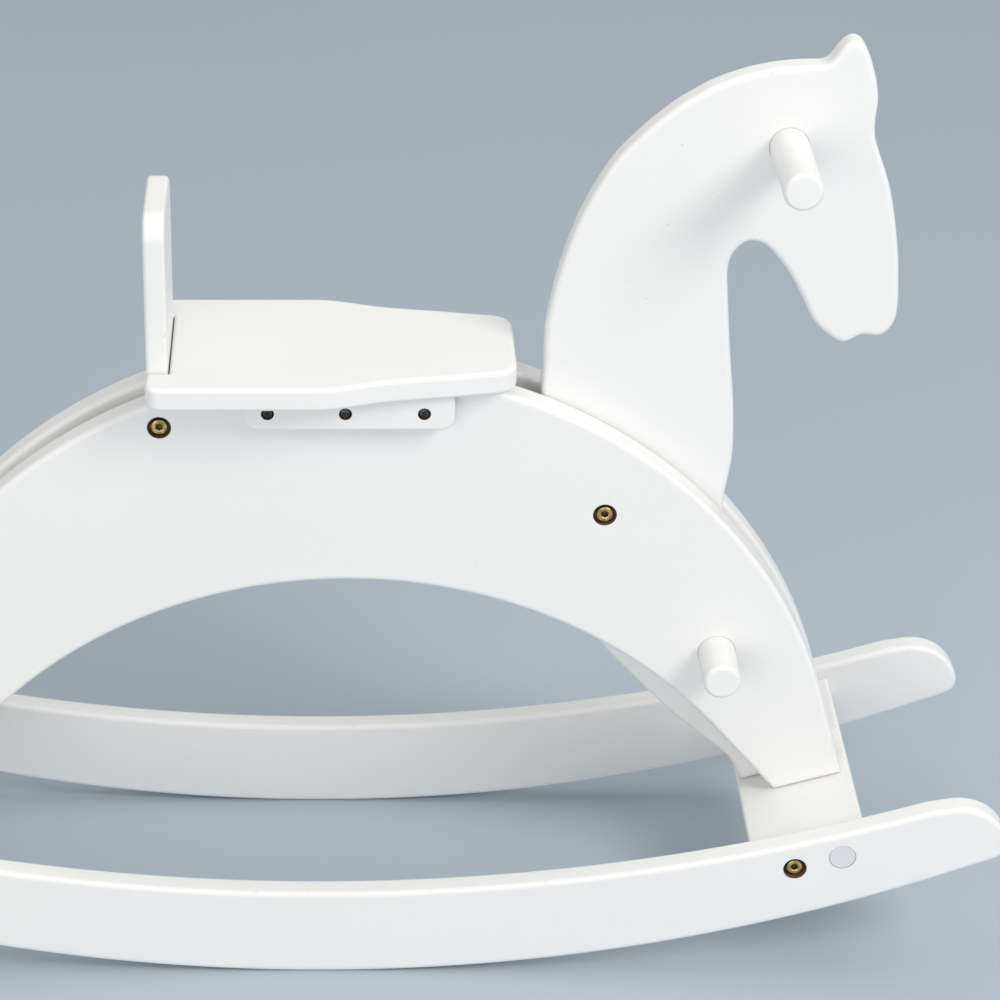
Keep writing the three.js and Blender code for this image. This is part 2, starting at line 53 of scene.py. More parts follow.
ARCH_OUT_R = 298.0
ARCH_OUT_Z = 67.7
ARCH_OUT_LEG = 16.0
ARCH_IN_X = 16.5
ARCH_IN_R = 290.0
ARCH_IN_Z = -61.3
ARCH_IN_LEG = 219.0
HEAD_T = 15.0
PANEL_T = 18.0
PANEL_IN = HEAD_T / 2 + GAP
PANEL_OUT = PANEL_IN + PANEL_T
SEAT_TOP = 371.2
SEAT_LOW = SEAT_TOP - SEAT_T
SEAT_REAR = -97.5
SEAT_FRONT = 112.5
SEAT_HALF = 60.5
BACK_HALF = 38.0
BACK_TOP = 464.0
BACK_FOOT = 315.0
BACK_SLOT = 1.3
PEG_D = 22.0
HANDLE = dict(x=261.0, z=495.5, half=73.0)
FOOTREST = dict(x=236.4, z=179.6, half=61.0)
BOARD_W = 69.0
BOARD_F = dict(x=291.5, z=78.0, a=16.5)
BOARD_R = dict(x=-263.5, z=71.4, a=-15.0)
BOLT_S = (-11.0, 17.7)
HEAD_D, HEAD_H, BOLT_D = 9.6, 4.0, 6.0
CBORE_D, CBORE_H = 13.6, 6.0
CAP_D, CAP_H = 15.6, 1.4
BODY_BOLT = (166.3, 272.6)
BACK_BOLT = (-91.5, 329.6)
CLEAT = dict(x0=-42.8, x1=77.5, z0=334.2, t=12.0, r=8.0)
CLEAT_SCREW_X = (-29.0, 15.3, 60.1)
CLEAT_SCREW_Z = 344.6
SEAT_SCREW_X = (-7.0, 38.0)
SCREW_FOOT_S = dict(front=(-6.0, 12.0), rear=(-9.0, 9.0))
NUT_Y = 55.0
TIP = [[366, 115.5], [374, 116.7], [382, 116.1], [390, 113.4], [397, 108.1], [402.4, 100.8], [405.4, 92.2], [404.2, 85.6], [399.6, 82], [392, 78.6]]
HEAD = [
    [128.1, 341], [129.2, 363.2], [129.4, 374.7], [130.1, 386.1], [132.1, 397.1], [134, 408.2], [136.5, 418.8], [139.3, 429.2], [142.5, 439.4],
    [146, 449.4], [150.2, 459], [154.6, 468.3], [159.6, 477.3], [165, 485.8], [171.2, 493.5], [178, 500.6], [185, 507.4], [192.3, 513.7],
    [199.6, 519.6], [207.6, 524.7], [215.7, 529.6], [224.5, 533.5], [233.6, 536.8], [242.8, 539.3], [252.2, 541.1], [262, 542.2], [271.8, 542.6],
    [276.6, 542.7], [280.6, 544.4], [283.5, 548.5], [286.3, 552.5], [289.6, 555.8], [293.8, 557.2], [297.9, 555], [301.4, 549.4], [304.2, 541.9], [307, 532.2],
    [308.5, 521.7], [307.9, 510.8], [308.6, 500.3], [312, 489.9], [315.9, 479.7], [319.3, 469.3], [321.9, 458.6], [324.1, 447.7], [326, 436.7],
    [327.5, 425.7], [328.5, 414.5], [329.3, 403.2], [329.3, 395.5], [328.2, 387.6], [324.8, 381.6], [320.6, 378.6], [315.8, 378.7], [310.8, 379.3], [306.4, 377.4], [302, 374.6],
    [297.6, 375], [293.3, 377.6], [289, 381.1], [284.9, 384.9], [281.4, 389.3], [276.2, 399.4], [271.2, 409.3], [265.7, 418.8], [259.2, 427.4],
    [252.5, 434.6], [248.2, 436.9], [243.5, 437.6], [239.2, 436.1], [235.8, 432.6], [233.3, 428.9], [231.8, 423.3], [231.5, 416], [232.2, 407.5], [233.7, 390.5], [235.3, 373.5], [237.2, 356.3],
    [239.2, 338.9], [240.5, 321.4], [241, 306], [240.6, 297.8], [239.2, 286.3], [237.7, 276.1], [237.2, 266], [238.6, 257], [241.5, 248], [246, 239.2],
    [255, 226.3], [265, 210], [275, 190.7], [283, 172.1], [288, 158.2], [291.4, 147.1], [299.5, 118.9], [307.4, 91.1],
    [259.6, 76.9], [252.6, 89.6], [248.2, 95.2], [230.2, 110.8], [214, 125.2], [199.4, 140.3], [187.8, 152.9], [176.6, 165.2], [168.4, 175.6], [159.4, 189.6],
    [151, 205.5], [143, 225], [137, 248], [133, 272], [130.2, 296], [128.6, 320],
]
SEAT_SIDE = [[-2, 60.5], [4, 60], [14.5, 57.7], [22.5, 55], [30.5, 52.4], [38.5, 50.2], [55.5, 47], [71.5, 44.6], [88.5, 41.4]]
SEAT_FRONT_HALF = (90.0, 41.1, 37.2)      # x where the straight front part starts, half width there and at the front
FLAT_Z = SEAT_LOW - GAP

# rounded edges of the painted boards
R_ROCK, R_PANEL, R_HEAD, R_SEAT, R_BACK, R_CROSS, R_CLEAT = 3.0, 3.0, 3.2, 2.6, 2.4, 2.2, 1.6

# camera: place and direction in the part's frame
CAM_LOC = (0.0065, -1.70736, 1.19567)
CAM_PITCH = 28.5
CAM_LENS = 118.8
CAM_SHIFT = (0.17, 0.0)


# ------------------------------------------------------------------ outlines
def rad(d):
    return d * math.pi / 180


def arc(cx, cz, r, x0, x1, step, sign):
    n = max(2, int(round(abs(x1 - x0) / step)))
    xs = np.linspace(x0, x1, n + 1)
    return np.stack([xs, cz + sign * np.sqrt(r * r - (xs - cx) ** 2)], -1)


def sweep(cx, cz, r, p, q, step):
    a0, a1 = math.atan2(p[1] - cz, p[0] - cx), math.atan2(q[1] - cz, q[0] - cx)
    if a0 < -math.pi / 2:
        a0 += 2 * math.pi
    if a1 < -math.pi / 2:
        a1 += 2 * math.pi
    n = max(2, int(round(abs(a1 - a0) * r / step)))
    t = np.linspace(a0, a1, n + 1)
    return np.stack([cx + r * np.cos(t), cz + r * np.sin(t)], -1)


def catmull(points, closed=True, per=8):
    """Centripetal Catmull-Rom through the points, per points for each span."""
    p = np.asarray(points, float)
    n = len(p)
    out = []
    spans = n if closed else n - 1
    for i in range(spans):
        if closed:
            a, b, c, d = p[(i - 1) % n], p[i], p[(i + 1) % n], p[(i + 2) % n]
        else:
            b, c = p[i], p[i + 1]
            a = p[i - 1] if i else 2 * b - c
            d = p[i + 2] if i + 2 < n else 2 * c - b
        t0 = 0.0
        t1 = t0 + max(1e-6, np.linalg.norm(b - a) ** 0.5)
        t2 = t1 + max(1e-6, np.linalg.norm(c - b) ** 0.5)
        t3 = t2 + max(1e-6, np.linalg.norm(d - c) ** 0.5)
        for k in range(per):
            t = t1 + (t2 - t1) * k / per
            a1 = (t1 - t) / (t1 - t0) * a + (t - t0) / (t1 - t0) * b
            a2 = (t2 - t) / (t2 - t1) * b + (t - t1) / (t2 - t1) * c
            a3 = (t3 - t) / (t3 - t2) * c + (t - t2) / (t3 - t2) * d
            b1 = (t2 - t) / (t2 - t0) * a1 + (t - t0) / (t2 - t0) * a2
            b2 = (t3 - t) / (t3 - t1) * a2 + (t - t1) / (t3 - t1) * a3
            out.append((t2 - t) / (t2 - t1) * b1 + (t - t1) / (t2 - t1) * b2)
    if not closed:
        out.append(p[-1])
    return np.array(out)


def resample(points, step):
    """Closed polyline, even spacing."""
    p = np.vstack([points, points[:1]])
    d = np.r_[0, np.cumsum(np.linalg.norm(np.diff(p, axis=0), axis=1))]
    n = int(round(d[-1] / step))
    s = np.arange(n) * d[-1] / n
    return np.stack([np.interp(s, d, p[:, 0]), np.interp(s, d, p[:, 1])], -1)


def soften(points, step, sigma):
    """Smooths a closed, evenly spaced outline over about sigma without shrinking it much."""
    n = len(points)
    k = np.arange(n)
    k = np.minimum(k, n - k) * step
    g = np.exp(-0.5 * (k / sigma) ** 2)
    g /= g.sum()
    f = np.fft.fft(g).real
    f = 2 * f - f * f
    return np.stack([np.fft.ifft(np.fft.fft(points[:, i]) * f).real for i in range(2)], -1)


def soften_open(points, step, sigma):
    """The same for an open line, whose ends stay in place."""
    d = np.r_[0, np.cumsum(np.linalg.norm(np.diff(points, axis=0), axis=1))]
    n = int(round(d[-1] / step))
    t = np.linspace(0, d[-1], n + 1)
    p = np.stack([np.interp(t, d, points[:, i]) for i in range(2)], -1)
    k = int(4 * sigma / step)
    g = np.exp(-0.5 * (np.arange(-k, k + 1) * step / sigma) ** 2)
    g /= g.sum()

    def once(q):
        w = np.vstack([2 * q[0] - q[k:0:-1], q, 2 * q[-1] - q[-2:-k - 2:-1]])
        return np.stack([np.convolve(w[:, i], g, "valid") for i in range(2)], -1)

    a = once(p)
    return 2 * a - once(a)


def rounded(corners, step=1.0):
    """Polygon with rounded corners from [x, y, radius]; a radius of 0 keeps a sharp corner."""
    out, n = [], len(corners)
    for i in range(n):
        x, y, r = corners[i]
        p = np.array([x, y], float)
        if not r:
            out.append(p)
            continue
        a = np.array(corners[i - 1][:2], float) - p
        b = np.array(corners[(i + 1) % n][:2], float) - p
        a /= np.linalg.norm(a)
        b /= np.linalg.norm(b)
        half = math.acos(max(-1, min(1, float(a @ b)))) / 2
        c = p + (a + b) / np.linalg.norm(a + b) * r / math.sin(half)
        s, e = p + a * r / math.tan(half), p + b * r / math.tan(half)
        a0, a1 = math.atan2(*(s - c)[::-1]), math.atan2(*(e - c)[::-1])
        while a1 - a0 > math.pi:
            a1 -= 2 * math.pi
        while a1 - a0 < -math.pi:
            a1 += 2 * math.pi
        m = max(4, int(round(abs(a1 - a0) * r / step)))
        for k in range(m + 1):
            t = a0 + (a1 - a0) * k / m
            out.append(c + r * np.array([math.cos(t), math.sin(t)]))
    return np.array(out)


def fill_in(points, step):
    """Adds points along the long straight sides, and keeps every corner."""
    out = []
    for i in range(len(points)):
        p, q = points[i], points[(i + 1) % len(points)]
        m = max(1, int(math.ceil(np.linalg.norm(q - p) / step)))
        for k in range(m):
            out.append(p + (q - p) * k / m)
    return np.array(out)


def area(p):
    q = np.roll(p, -1, axis=0)
    return 0.5 * float(np.sum(p[:, 0] * q[:, 1] - p[:, 1] * q[:, 0]))


def clean(points, least=0.05):
    keep = [points[0]]
    for p in points[1:]:
        if np.linalg.norm(p - keep[-1]) > least:
            keep.append(p)
    if np.linalg.norm(keep[0] - keep[-1]) <= least:
        keep.pop()
    p = np.array(keep)
    return p if area(p) > 0 else p[::-1].copy()


class Outline:
    """Counter-clockwise outline with safe inward offsets."""

    def __init__(self, points, depth=0.0):
        self.p = clean(np.asarray(points, float))
        # no points inside the mitre of a sharp outside corner
        e = np.roll(self.p, -1, axis=0) - self.p
        e /= np.linalg.norm(e, axis=1)[:, None]
        b = np.roll(e, 1, axis=0)
        bend = np.arctan2(b[:, 0] * e[:, 1] - b[:, 1] * e[:, 0], np.sum(b * e, axis=1))
        sharp = bend > rad(30)
        keep = np.ones(len(self.p), bool)
        for i in np.nonzero(sharp)[0]:
            reach = depth * math.tan(bend[i] / 2) + 0.8
            keep &= (np.linalg.norm(self.p - self.p[i], axis=1) > reach) | (np.abs(bend) > rad(30))
        self.p = self.p[keep]
        prev, nxt = np.roll(self.p, 1, axis=0), np.roll(self.p, -1, axis=0)
        e1, e2 = self.p - prev, nxt - self.p
        l1, l2 = np.linalg.norm(e1, axis=1), np.linalg.norm(e2, axis=1)
        e1, e2 = e1 / l1[:, None], e2 / l2[:, None]
        n1 = np.stack([-e1[:, 1], e1[:, 0]], -1)
        n2 = np.stack([-e2[:, 1], e2[:, 0]], -1)
        dot = np.clip(np.sum(n1 * n2, axis=1), -0.6, 1)
        self.dir = (n1 + n2) / (1 + dot)[:, None]
        turn = e1[:, 0] * e2[:, 1] - e1[:, 1] * e2[:, 0]
        ang = np.arcsin(np.clip(turn, -1, 1))
        self.corner = np.abs(ang) > rad(30)
        with np.errstate(divide="ignore"):
            self.radius = np.where((ang > 1e-5) & ~self.corner, (l1 + l2) / 2 / np.maximum(ang, 1e-5), 1e9)
        self.radius = np.minimum(np.minimum(self.radius, np.roll(self.radius, 1)), np.roll(self.radius, -1))
        self.radius[self.corner] = 1e9

    def inset(self, d):
        k = np.minimum(d, 0.86 * self.radius)
        for _ in range(3):
            k = np.minimum(k, (np.roll(k, 1) + k + np.roll(k, -1)) / 3 + 0.02)
        return self.p + self.dir * k[:, None]


def inside(pts, poly):
    x, y = pts[:, 0][:, None], pts[:, 1][:, None]
    x0, y0 = poly[:, 0][None], poly[:, 1][None]
    x1, y1 = np.roll(poly[:, 0], -1)[None], np.roll(poly[:, 1], -1)[None]
    hit = (y0 > y) != (y1 > y)
    with np.errstate(divide="ignore", invalid="ignore"):
        cx = (x1 - x0) * (y - y0) / (y1 - y0) + x0
    return (np.sum(hit & (x < cx), axis=1) % 2) == 1


# ------------------------------------------------------------------ mesh helpers
def new_object(name, verts, faces, mats, mat_index=None, wear=None):
    me = bpy.data.meshes.new(name)
    me.from_pydata([tuple(v) for v in verts], [], [tuple(f) for f in faces])
    for m in mats:
        me.materials.append(m)
    if mat_index is not None:
        me.polygons.foreach_set("material_index", np.asarray(mat_index, np.int32))
    if wear is not None:
        a = me.attributes.new("edge_wear", "FLOAT", "POINT")
        a.data.foreach_set("value", np.asarray(wear, np.float32))
    me.polygons.foreach_set("use_smooth", np.ones(len(me.polygons), bool))
    me.update()
    bm = bmesh.new()
    bm.from_mesh(me)
    bmesh.ops.recalc_face_normals(bm, faces=bm.faces)
    odd = [e for e in bm.edges if len(e.link_faces) != 2]
    open_edges = len(odd)
    if bm.calc_volume(signed=True) < 0:
        bmesh.ops.reverse_faces(bm, faces=bm.faces)
    if open_edges:
        raise ValueError(name + " is not closed")
    bm.to_mesh(me)
    bm.free()
    o = bpy.data.objects.new(name, me)
    bpy.context.scene.collection.objects.link(o)
    return o


def finish_normals(o, angle=38):
    o.data.set_sharp_from_angle(angle=rad(angle))
    m = o.modifiers.new("even_normals", "WEIGHTED_NORMAL")
    m.mode = "FACE_AREA"
    m.weight = 50
    m.keep_sharp = True


def cut_with(o, tools):
    """Exact cut of a closed mesh by closed tool meshes, which are then removed."""
    for t in tools:
        m = o.modifiers.new("cut", "BOOLEAN")
        m.operation = "DIFFERENCE"
        m.solver = "EXACT"
        m.object = t
    dg = bpy.context.evaluated_depsgraph_get()
    me = bpy.data.meshes.new_from_object(o.evaluated_get(dg), depsgraph=dg)
    o.modifiers.clear()
    old = o.data
    name = old.name
    o.data = me
    bpy.data.meshes.remove(old)
    me.name = name
    for t in tools:
        d = t.data
        bpy.data.objects.remove(t)
        bpy.data.meshes.remove(d)


def face_fill(base, loops, ring_ids, loop_ids, grid=9.0):
    """Triangles of the flat face inside base and outside the hole loops. Returns new points and triangles of vertex numbers, new ones counted from -1 down."""
    pts = [tuple(p) for p in base]
    ids = list(ring_ids)
    edges = [(i, (i + 1) % len(base)) for i in range(len(base))]
    for lp, li in zip(loops, loop_ids):
        s = len(pts)
        pts += [tuple(p) for p in lp]
        ids += list(li)
        edges += [(s + i, s + (i + 1) % len(lp)) for i in range(len(lp))]
    lo, hi = base.min(0), base.max(0)
    gx = np.arange(lo[0] + grid / 2, hi[0], grid)
    gy = np.arange(lo[1] + grid / 2, hi[1], grid * 0.866)
    cand = []
    for j, y in enumerate(gy):
        for x in gx:
            cand.append((x + (grid / 2 if j % 2 else 0), y))
    cand = np.array(cand)
    fresh = []
    if len(cand):
        cand = cand[inside(cand, base)]
        bound = np.array(pts)
        for c in cand:
            if np.min(np.hypot(bound[:, 0] - c[0], bound[:, 1] - c[1])) < grid * 0.42:
                continue
            if any(inside(c[None], lp)[0] for lp in loops):
                continue
            fresh.append(tuple(c))
    first_new = len(pts)
    pts += fresh
    vo, _, fo, ov, _, _ = delaunay_2d_cdt([Vector(p) for p in pts], edges, [], 0, 1e-7)
    back = [o[0] if o else None for o in ov]
    flat = np.array([v[:] for v in vo])
    cent = np.array([flat[list(f)].mean(0) for f in fo])
    ok = inside(cent, base)
    for lp in loops:
        ok &= ~inside(cent, lp)
    tri = np.array([list(f)[:3] for f in fo])
    e1, e2 = flat[tri[:, 1]] - flat[tri[:, 0]], flat[tri[:, 2]] - flat[tri[:, 0]]
    size = np.abs(e1[:, 0] * e2[:, 1] - e1[:, 1] * e2[:, 0])
    start = int(np.argmax(np.where(ok, size, 0)))
    walls = {frozenset(e) for e in edges}
    side_of = {}
    for k, f in enumerate(fo):
        for i in range(len(f)):
            side_of.setdefault(frozenset((f[i], f[(i + 1) % len(f)])), []).append(k)
    ok = np.zeros(len(fo), bool)
    ok[start] = True
    todo = [start]
    while todo:
        f = fo[todo.pop()]
        for i in range(len(f)):
            e = (f[i], f[(i + 1) % len(f)])
            if frozenset(back[j] for j in e) in walls:
                continue
            for k in side_of[frozenset(e)]:
                if not ok[k]:
                    ok[k] = True
                    todo.append(k)
    tris = []
    for f, good in zip(fo, ok):
        if not good:
            continue
        t = []
        for i in f:
            b = back[i]
            t.append(ids[b] if b < first_new else -(b - first_new) - 1)
        tris.append(tuple(t))
    return np.array(fresh).reshape(-1, 2), tris


def board(name, outline, c0, c1, edge, place, mats, holes=(), seg=5, support=1.2, grid=9.0, hole_seg=56):
    """Closed board: an outline in its own plane, c0..c1 through its thickness, rounded edges, turned holes.
    holes: (x, y, [(radius, level), ...] from the c1 face to the c0 face); a profile that ends above c0 is a blind hole from c1, and one that starts below c1 a blind hole from c0."""
    ol = Outline(outline, edge + support)
    n = len(ol.p)
    rings, wear = [], []
    for k in range(-1, seg + 1):
        t = max(0, k) / seg * math.pi / 2
        ins = edge * (1 - math.sin(t)) + (support if k < 0 else 0)
        rings.append((ol.inset(ins), c1 - edge * (1 - math.cos(t))))
        wear.append(0 if k < 0 else math.sin(2 * t) * 0.75 + (0.25 if k > 0 else 0))
    for k in range(seg, -2, -1):
        t = max(0, k) / seg * math.pi / 2
        ins = edge * (1 - math.sin(t)) + (support if k < 0 else 0)
        rings.append((ol.inset(ins), c0 + edge * (1 - math.cos(t))))
        wear.append(0 if k < 0 else math.sin(2 * t) * 0.75 + (0.25 if k > 0 else 0))
    verts, vw, faces, mi = [], [], [], []
    for (r, lev), w in zip(rings, wear):
        verts += [(p[0], p[1], lev) for p in r]
        vw += [w] * n
    for a in range(len(rings) - 1):
        for i in range(n):
            j = (i + 1) % n
            faces.append((a * n + i, a * n + j, (a + 1) * n + j, (a + 1) * n + i))
            mi.append(0)
    top_loops, top_ids, low_loops, low_ids = [], [], [], []
    ang = np.linspace(0, 2 * math.pi, hole_seg, endpoint=False)
    unit = np.stack([np.cos(ang), np.sin(ang)], -1)
    for hx, hy, prof in holes:
        first = len(verts)
        ids = []
        for r, lev in prof:
            if r <= 0:
                ids.append([len(verts)])
                verts.append((hx, hy, lev))
                vw.append(0)
            else:
                ids.append(list(range(len(verts), len(verts) + hole_seg)))
                verts += [(hx + r * u[0], hy + r * u[1], lev) for u in unit]
                vw += [0] * hole_seg
        for a, b in zip(ids, ids[1:]):
            for i in range(hole_seg):
                j = (i + 1) % hole_seg
                if len(a) == 1:
                    faces.append((a[0], b[j], b[i]))
                elif len(b) == 1:
                    faces.append((a[i], a[j], b[0]))
                else:
                    faces.append((a[i], a[j], b[j], b[i]))
                mi.append(0 if len(mats) < 2 or max(q for q, _ in prof) > 10 else 1)
        if abs(prof[0][1] - c1) < 1e-6:
            top_loops.append(np.array([hx, hy]) + unit * prof[0][0])
            top_ids.append(ids[0])
            for i in range(hole_seg):      # the painted lead-in
                mi[-(hole_seg * (len(ids) - 1)) + i] = 0
        if abs(prof[-1][1] - c0) < 1e-6:
            low_loops.append(np.array([hx, hy]) + unit * prof[-1][0])
            low_ids.append(ids[-1])
            for i in range(hole_seg):
                mi[-hole_seg + i] = 0
    for ring_no, lev, loops, ids in ((0, c1, top_loops, top_ids), (len(rings) - 1, c0, low_loops, low_ids)):
        base = rings[ring_no][0]
        fresh, tris = face_fill(base, loops, range(ring_no * n, ring_no * n + n), ids, grid)
        s = len(verts)
        verts += [(p[0], p[1], lev) for p in fresh]
        vw += [0] * len(fresh)
        for t in tris:
            faces.append(tuple(i if i >= 0 else s + (-i - 1) for i in t))
            mi.append(0)
    v = np.array([place(*p) for p in verts]) * 0.001
    o = new_object(name, v, faces, mats, mi, vw)
    finish_normals(o)
    return o


def lathe(name, profile, mats, place, seg=64, wear=None):
    """Closed turned piece: profile (radius, height) from axis to axis; a negative radius is half the width of a hexagon."""
    ang = np.linspace(0, 2 * math.pi, seg, endpoint=False)
    turn = rad(22.5)
    verts, ids, vw = [], [], []
    for k, (r, h) in enumerate(profile):
        w = wear[k] if wear else 0
        if abs(r) <= 1e-9:
            ids.append([len(verts)])
            verts.append((0, 0, h))
            vw.append(w)
        else:
            ids.append(list(range(len(verts), len(verts) + seg)))
            out = [r if r > 0 else -r / math.cos((a - turn) % (math.pi / 3) - math.pi / 6) for a in ang]
            verts += [(q * math.cos(a), q * math.sin(a), h) for q, a in zip(out, ang)]
            vw += [w] * seg
    faces = []
    for a, b in zip(ids, ids[1:]):
        for i in range(seg):
            j = (i + 1) % seg
            if len(a) == 1:
                faces.append((a[0], b[j], b[i]))
            elif len(b) == 1:
                faces.append((a[i], a[j], b[0]))
            else:
                faces.append((a[i], a[j], b[j], b[i]))
    v = np.array([place(*p) for p in verts]) * 0.001
    return new_object(name, v, faces, mats, None, vw)


def prism(name, poly, h0, h1, place):
    n = len(poly)
    verts = [(x, y, h0) for x, y in poly] + [(x, y, h1) for x, y in poly]
    faces = [tuple(range(n - 1, -1, -1)), tuple(range(n, 2 * n))]
    faces += [(i, (i + 1) % n, n + (i + 1) % n, n + i) for i in range(n)]
    v = np.array([place(*p) for p in verts]) * 0.001
    return new_object(name, v, faces, [])


def xz(a, b, c):        # board drawn in X and Z, thickness along Y
    return (a, c, b)


def xy(a, b, c):        # board drawn in X and Y, thickness along Z
    return (a, b, c)


def yz(a, b, c):        # board drawn in Y and Z, thickness along X
    return (c, a, b)


# ------------------------------------------------------------------ materials
def nodes_of(name):
    m = bpy.data.materials.new(name)
    m.use_nodes = True
    nt = m.node_tree
    nt.nodes.clear()
    out = nt.nodes.new("ShaderNodeOutputMaterial")
    b = nt.nodes.new("ShaderNodeBsdfPrincipled")
    nt.links.new(b.outputs["BSDF"], out.inputs["Surface"])
    tc = nt.nodes.new("ShaderNodeTexCoord")
    return m, nt, b, tc.outputs["Object"]


def noise(nt, vec, scale, detail=3.0, rough=0.5, stretch=None, seed=0.0):
    mp = nt.nodes.new("ShaderNodeMapping")
    nt.links.new(vec, mp.inputs["Vector"])
    mp.inputs["Location"].default_value = (seed, seed * 0.37, -seed * 0.61)
    if stretch:
        mp.inputs["Scale"].default_value = stretch
    t = nt.nodes.new("ShaderNodeTexNoise")
    nt.links.new(mp.outputs["Vector"], t.inputs["Vector"])
    t.inputs["Scale"].default_value = scale
    t.inputs["Detail"].default_value = detail
    t.inputs["Roughness"].default_value = rough
    return t.outputs["Fac"]


def remap(nt, val, a, b, c, d, smooth=False):
    r = nt.nodes.new("ShaderNodeMapRange")
    r.interpolation_type = "SMOOTHSTEP" if smooth else "LINEAR"
    nt.links.new(val, r.inputs["Value"])
    for k, x in zip(("From Min", "From Max", "To Min", "To Max"), (a, b, c, d)):
        r.inputs[k].default_value = x
    return r.outputs["Result"]


def math_node(nt, op, a, b):
    n = nt.nodes.new("ShaderNodeMath")
    n.operation = op
    for i, x in enumerate((a, b)):
        if isinstance(x, (int, float)):
            n.inputs[i].default_value = x
        else:
            nt.links.new(x, n.inputs[i])
    return n.outputs[0]


def mix_colour(nt, fac, a, b, mode="MIX"):
    n = nt.nodes.new("ShaderNodeMix")
    n.data_type = "RGBA"
    n.blend_type = mode
    if isinstance(fac, (int, float)):
        n.inputs["Factor"].default_value = fac
    else:
        nt.links.new(fac, n.inputs["Factor"])
    for key, x in (("A", a), ("B", b)):
        s = [i for i in n.inputs if i.name == key and i.type == "RGBA"][0]
        if isinstance(x, tuple):
            s.default_value = (*x, 1)
        else:
            nt.links.new(x, s)
    return [o for o in n.outputs if o.type == "RGBA"][0]


def bump(nt, b, layers):
    """layers: (height, distance in metres, strength)."""
    last = None
    for h, dist, strength in layers:
        n = nt.nodes.new("ShaderNodeBump")
        n.inputs["Distance"].default_value = dist
        n.inputs["Strength"].default_value = strength
        nt.links.new(h, n.inputs["Height"])
        if last is not None:
            nt.links.new(last, n.inputs["Normal"])
        last = n.outputs["Normal"]
    nt.links.new(last, b.inputs["Normal"])


def attribute(nt, name):
    a = nt.nodes.new("ShaderNodeAttribute")
    a.attribute_name = name
    return a.outputs["Fac"]


def paint(name, along, seed, tone=(0.86, 0.86, 0.855)):
    """Satin white lacquer on board: along is the stretch of the faint grain under it."""
    m, nt, b, vec = nodes_of(name)
    broad = remap(nt, noise(nt, vec, 7.0, 2.0, 0.5, None, seed), 0.3, 0.7, 0, 1)
    c = mix_colour(nt, broad, tuple(t * 0.985 for t in tone), (tone[0], tone[1] * 0.998, tone[2] * 0.99))
    grain = noise(nt, vec, 26.0, 5.0, 0.62, along, seed + 3)
    c = mix_colour(nt, remap(nt, grain, 0.35, 0.75, 0, 0.5), c, tuple(t * 0.972 for t in tone))
    # rubbed edges and the odd speck under the lacquer
    rub = noise(nt, vec, 95.0, 4.0, 0.65, None, seed + 7)
    worn = math_node(nt, "MULTIPLY", attribute(nt, "edge_wear"), remap(nt, rub, 0.60, 0.74, 0, 0.55, True))
    c = mix_colour(nt, worn, c, (0.66, 0.62, 0.55))
    sp = noise(nt, vec, 330.0, 2.0, 0.5, None, seed + 11)
    zone = remap(nt, noise(nt, vec, 9.0, 2.0, 0.5, None, seed + 13), 0.56, 0.66, 0, 1, True)
    speck = math_node(nt, "MULTIPLY", remap(nt, sp, 0.735, 0.775, 0, 0.5, True), zone)
    c = mix_colour(nt, speck, c, (0.50, 0.48, 0.45))
    nt.links.new(c, b.inputs["Base Color"])
    r = remap(nt, noise(nt, vec, 38.0, 4.0, 0.6, None, seed + 17), 0.3, 0.7, 0.40, 0.52)
    r = math_node(nt, "ADD", r, math_node(nt, "MULTIPLY", worn, 0.35))
    nt.links.new(r, b.inputs["Roughness"])
    b.inputs["Specular IOR Level"].default_value = 0.42
    b.inputs["Coat Weight"].default_value = 0.12
    b.inputs["Coat Roughness"].default_value = 0.28
    peel = noise(nt, vec, 620.0, 2.0, 0.5, None, seed + 19)
    bump(nt, b, [(grain, 0.00012, 0.35), (peel, 0.00005, 0.5), (math_node(nt, "SUBTRACT", 1.0, speck), 0.0001, 0.4)])
    return m


def metal(name, light, dark, rough, seed, scale=260.0, metallic=1.0):
    m, nt, b, vec = nodes_of(name)
    n = noise(nt, vec, scale, 5.0, 0.6, None, seed)
    c = mix_colour(nt, remap(nt, n, 0.38, 0.66, 0, 1, True), light, dark)
    nt.links.new(c, b.inputs["Base Color"])
    nt.links.new(remap(nt, noise(nt, vec, scale * 1.7, 4.0, 0.6, None, seed + 2), 0.3, 0.7, rough - 0.08, rough + 0.14), b.inputs["Roughness"])
    b.inputs["Metallic"].default_value = metallic
    bump(nt, b, [(noise(nt, vec, 1500.0, 3.0, 0.6, (1, 1, 6), seed + 5), 0.00003, 0.5)])
    return m


def plastic(name):
    m, nt, b, vec = nodes_of(name)
    n = noise(nt, vec, 60.0, 3.0, 0.5, None, 4.0)
    nt.links.new(mix_colour(nt, remap(nt, n, 0.3, 0.7, 0, 1), (0.715, 0.715, 0.735), (0.690, 0.690, 0.712)), b.inputs["Base Color"])
    nt.links.new(remap(nt, noise(nt, vec, 300.0, 3.0, 0.5, None, 6.0), 0.3, 0.7, 0.42, 0.56), b.inputs["Roughness"])
    b.inputs["Specular IOR Level"].default_value = 0.4
    bump(nt, b, [(noise(nt, vec, 1800.0, 2.0, 0.5, None, 9.0), 0.00003, 0.5)])
    return m


def raw_board(name):
    m, nt, b, vec = nodes_of(name)
    fib = noise(nt, vec, 420.0, 5.0, 0.7, (0.5, 1, 0.5), 2.0)
    nt.links.new(mix_colour(nt, remap(nt, fib, 0.3, 0.7, 0, 1), (0.235, 0.150, 0.080), (0.085, 0.050, 0.026)), b.inputs["Base Color"])
    nt.links.new(remap(nt, fib, 0.3, 0.7, 0.7, 0.9), b.inputs["Roughness"])
    bump(nt, b, [(fib, 0.0003, 0.7)])
    return m


